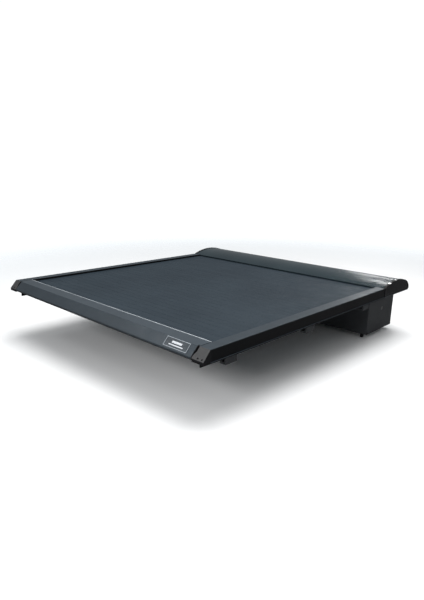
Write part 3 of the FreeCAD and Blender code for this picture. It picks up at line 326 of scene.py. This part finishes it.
def paint_everything():
    """Give each CAD node the finish that the real piece has; some coats and mouldings also carry painted
    light on their upward faces.
    """
    paint(slat_coat(), *[name for name in nodes if name.startswith("slats_")])
    # The top shares in this call and the next two are painted light on upward faces.
    paint(powder_coat("rail_powder_coat", (0.001, 0.0015, 0.002), (0.002, 0.002, 0.003), 0.4,
                      specular=0.2, top=0.13),
          "side_rail_right", "side_rail_left")
    paint(powder_coat("bar_powder_coat", (0.012, 0.017, 0.022), (0.016, 0.022, 0.028), 0.38,
                      specular=0.35, top=0.08),
          "pull_bar")
    paint(powder_coat("lid_satin_coat", (0.012, 0.02, 0.025), (0.016, 0.026, 0.031), 0.26,
                      specular=0.25, depth=0.000004, smear=0.01),
          "canister_lid")
    paint(powder_coat("dark_grey_coat", (0.024, 0.026, 0.029), (0.034, 0.037, 0.04), 0.42,
                      specular=0.3, top=0.1),
          "canister_tray", "canister_end_right", "canister_end_left", "rail_clamps")
    paint(bare_metal("trim_aluminium", (0.86, 0.9, 0.94), 0.55, drawn=True), "bar_trim_strip")
    paint(bare_metal("mill_aluminium", (0.5, 0.51, 0.52), 0.42, drawn=True), "drum_tube", "guide_roller")
    # The last colours of the next two mouldings are painted light on their upward faces.
    paint(moulding("gloss_moulding", (0.002, 0.002, 0.003), (0.003, 0.003, 0.004), 0.08,
                   700.0, 0.00002, specular=0.25, painted_top_colour=(0.02, 0.019, 0.018)),
          "canister_cap_right", "canister_cap_left")
    paint(moulding("grey_moulding", (0.004, 0.004, 0.005), (0.006, 0.006, 0.007), 0.5,
                   900.0, 0.00012, specular=0.15, painted_top_colour=(0.05, 0.05, 0.051)),
          "rail_end_cap_right", "rail_end_cap_left")
    paint(moulding("black_moulding", (0.006, 0.006, 0.007), (0.01, 0.01, 0.011), 0.45,
                   1000.0, 0.0001, specular=0.2),
          "bar_end_block_right", "bar_end_block_left", "drum_end_plugs", "drain_spout_right",
          "drain_spout_left", "release_handle")
    paint(moulding("bearing_plastic", (0.5, 0.47, 0.4), (0.6, 0.57, 0.5), 0.4, 800.0, 0.00004),
          "drum_bearings", "roller_bushes")
    paint(rubber(), "rail_seal_right", "rail_seal_left", "tailgate_seal", "mouth_seal")
    paint(bare_metal("black_oxide", (0.02, 0.02, 0.022), 0.5), "end_cap_screws", "canister_screws")
    paint(bare_metal("zinc_plate", (0.42, 0.41, 0.38), 0.36), "clamp_bolts", "bar_screws",
          "latch_bracket", "latch_cam", "spindle_clip")
    paint(bare_metal("drawn_steel", (0.3, 0.3, 0.3), 0.34, drawn=True),
          "latch_rod_right", "latch_rod_left", "drum_shaft", "roller_axle")
    paint(bare_metal("spring_steel", (0.16, 0.16, 0.17), 0.36), "torsion_spring")
    paint(badge(), "badge_plate")


# Webbing


def webbing_line():
    """The way of the curtain's webbing: under the last slat, down to the drum and round it."""
    slat_low, slat_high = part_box("slats_33_34")
    drum_low, drum_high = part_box("drum_tube")
    drum = Vector(((drum_low.y + drum_high.y) / 2, (drum_low.z + drum_high.z) / 2))
    wrap = (drum_high.z - drum_low.z) / 2 + WEBBING_GAP + WEBBING_THICK / 2
    edge = Vector((slat_high.y - WEBBING_INSET, slat_low.z - WEBBING_THICK / 2))
    way = drum - edge
    lean = math.atan2(way.y, way.x) + math.asin(wrap / way.length)
    run = math.sqrt(way.length ** 2 - wrap ** 2)
    touch = edge + Vector((math.cos(lean), math.sin(lean))) * run - drum
    start = math.atan2(touch.y, touch.x)
    turns = [start - math.radians(5 * step) for step in range(25)]
    wound = [drum + Vector((math.cos(turn), math.sin(turn))) * wrap for turn in turns]
    return [edge - Vector((WEBBING_SEWN, 0)), edge] + wound


def strap_section(point, run, middle):
    """The corners of the webbing's section at a point, thinner at its selvedges."""
    out = Vector((-run.y, run.x))
    corners = []
    for side in (1, -1):
        for step in range(-8, 9):
            part = side * step / 8
            place = point + out * side * WEBBING_THICK / 2 * (1 - 0.4 * part ** 8)
            corners.append((middle + part * WEBBING_WIDTH / 2, place.x, place.y))
    return corners


def add_strap(name, middle, material):
    """One band of webbing, from under the last slat down to the drum and round it."""
    line = webbing_line()
    shape = bmesh.new()
    rings = []
    for index, point in enumerate(line):
        run = (line[min(index + 1, len(line) - 1)] - line[max(index - 1, 0)]).normalized()
        rings.append([shape.verts.new(corner) for corner in strap_section(point, run, middle)])
    for first, second in zip(rings, rings[1:]):
        for index in range(len(first)):
            shape.faces.new((first[index - 1], first[index], second[index], second[index - 1]))
    shape.faces.new(rings[0])
    shape.faces.new(rings[-1])
    bmesh.ops.recalc_face_normals(shape, faces=shape.faces)
    mesh = bpy.data.meshes.new(name)
    shape.to_mesh(mesh)
    shape.free()
    mesh.materials.append(material)
    strap = bpy.data.objects.new(name, mesh)
    bpy.context.collection.objects.link(strap)
    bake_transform(strap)
    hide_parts("curtain_tethers")


def add_straps():
    low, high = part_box("curtain_tethers")
    reach = (high.x - low.x - WEBBING_WIDTH) / 2
    material = woven()
    for name, side in (("webbing_left", -1), ("webbing_middle", 0), ("webbing_right", 1)):
        add_strap(name, side * reach, material)


# Surroundings


def pale_floor():
    """A pale painted floor with faint mottling, dark in gloss and faded out far from the part."""
    pale = Surface("pale_floor", specular=0.1)
    tone = pale.mixed(pale.ranged(pale.noise(1.5, 4.0), 0.3, 0.7), (0.9, 0.9, 0.9), (0.87, 0.87, 0.87))
    tone = pale.mixed(pale.add("ShaderNodeLightPath").outputs["Is Glossy Ray"], tone, (0.1, 0.1, 0.1))
    distance = pale.add("ShaderNodeVectorMath", operation="LENGTH")
    pale.join(pale.place, distance.inputs[0])
    painted_top_share = pale.ranged(distance.outputs["Value"], *FLOOR_FADE, 1.0, 0.0)
    pale.join(painted_top_share, pale.shader.inputs["Alpha"])
    return pale.finish(tone, pale.ranged(pale.noise(6.0, 3.0), 0.3, 0.7, 0.6, 0.7))


def add_floor():
    """A wide pale floor just under the lowest piece."""
    low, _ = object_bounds()
    shape = bmesh.new()
    bmesh.ops.create_circle(shape, cap_ends=True, segments=96, radius=FLOOR_RADIUS)
    mesh = bpy.data.meshes.new("floor")
    shape.to_mesh(mesh)
    shape.free()
    floor = bpy.data.objects.new("floor", mesh)
    floor.location = (0, 0, low[2] - FLOOR_GAP)
    bpy.context.collection.objects.link(floor)
    mesh.materials.append(pale_floor())


def add_light(name, place, aim, size, power):
    """A soft white rectangular light, aimed at a point."""
    data = bpy.data.lights.new(name, "AREA")
    data.shape = "RECTANGLE"
    data.size, data.size_y = size
    data.energy = power
    light = bpy.data.objects.new(name, data)
    light.location = place
    light.rotation_euler = (Vector(aim) - Vector(place)).to_track_quat("-Z", "Y").to_euler()
    light.visible_camera = False
    bpy.context.collection.objects.link(light)


def add_room():
    """A room that looks white and lights the part softly, at less than the strength that is seen."""
    world = bpy.data.worlds.new("soft_room")
    world.use_nodes = True
    tree = world.node_tree
    background = tree.nodes["Background"]
    background.inputs["Color"].default_value = (0.93, 0.97, 1.0, 1.0)
    seen = tree.nodes.new("ShaderNodeLightPath")
    strength = tree.nodes.new("ShaderNodeMapRange")
    strength.inputs["To Min"].default_value = ROOM_LIGHT
    strength.inputs["To Max"].default_value = ROOM_SEEN
    tree.links.new(seen.outputs["Is Camera Ray"], strength.inputs["Value"])
    tree.links.new(strength.outputs["Result"], background.inputs["Strength"])
    bpy.context.scene.world = world
    bpy.context.scene.view_settings.view_transform = "Standard"


def add_lights():
    """A wide light overhead, one at the right, and four small ones that give the coats their sheen."""
    add_light("overhead_softbox", (0.3, -0.7, 3.6), (0.1, -0.8, 0), (3.4, 3.2), 208)
    add_light("right_softbox", (4.0, -3.4, 2.6), (0, -0.9, 0), (2.5, 2.0), 12)
    add_light("rear_softbox", (1.1, -3.0, 0.8), (0.62, -1.66, 0.03), (0.6, 0.4), 24)
    add_light("left_softbox", (-1.65, -2.8, 1.8), (0.55, -1.66, 0.03), (0.6, 0.4), 5)
    add_light("far_softbox", (-1.35, 4.0, 1.15), (0.69, -0.45, 0.05), (0.6, 0.3), 5)
    add_light("lid_softbox", (-1.1, 3.05, 2.7), (0.65, -0.25, 0.07), (0.45, 0.16), 12)


def add_camera():
    """The photograph's view: from behind the right-hand corner, a little above the bed."""
    place = Vector((1.7954, -2.7766, 0.6415))
    yaw, pitch, roll = 0.7581, 0.2603, 0.0217
    forward = Vector((-math.sin(yaw) * math.cos(pitch), math.cos(yaw) * math.cos(pitch),
                      -math.sin(pitch)))
    level = Vector((math.cos(yaw), math.sin(yaw), 0.0))
    upward = level.cross(forward)
    right = level * math.cos(roll) + upward * math.sin(roll)
    top = upward * math.cos(roll) - level * math.sin(roll)
    data = bpy.data.cameras.new("camera")
    data.lens = 29.43
    data.sensor_width = 36.0
    camera = bpy.data.objects.new("camera", data)
    turn = Matrix((right, top, -forward)).transposed().to_4x4()
    camera.matrix_world = Matrix.Translation(place) @ turn
    bpy.context.collection.objects.link(camera)
    bpy.context.scene.camera = camera


paint_everything()
add_straps()
add_floor()
add_room()
add_lights()
add_camera()
